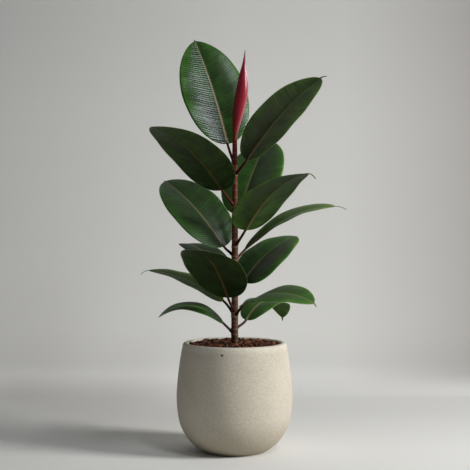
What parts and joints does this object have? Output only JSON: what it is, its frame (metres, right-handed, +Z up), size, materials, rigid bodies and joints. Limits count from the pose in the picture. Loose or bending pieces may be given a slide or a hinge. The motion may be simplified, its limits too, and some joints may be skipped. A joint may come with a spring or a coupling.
{
  "type": "potted plant",
  "caption": "Upright broad-leaved plant with glossy oval leaves on stalks round one trunk, a closed red bud sheath at its top, rooted in the soil of a round-bellied stoneware pot.",
  "frame": {"origin": "middle of the pot's flat base, on the surface it stands on", "axes": "+Z up along the trunk, +X to the right of someone who faces the plant, +Y away from them"},
  "size_m": [0.3925, 0.3652, 0.7932],
  "materials": {
    "pot_stoneware": "matt unglazed stoneware, fine speckle",
    "potting_soil": "dry crumbled bark and fibre",
    "bark": "smooth young bark with ring scars",
    "red_sheath": "waxy, half gloss",
    "leaf": "waxy upper side, duller under side"
  },
  "bodies": {
    "root": {"pot": "pot_stoneware", "soil": "potting_soil", "stem": "bark", "bud_sheath": "red_sheath", "leaf_01": "leaf", "leaf_02": "leaf", "leaf_03": "leaf", "leaf_04": "leaf", "leaf_05": "leaf", "leaf_06": "leaf", "leaf_07": "leaf", "leaf_08": "leaf", "leaf_09": "leaf", "leaf_10": "leaf", "leaf_11": "leaf", "leaf_12": "leaf", "leaf_13": "leaf", "leaf_14": "leaf"}
  },
  "joints": []
}
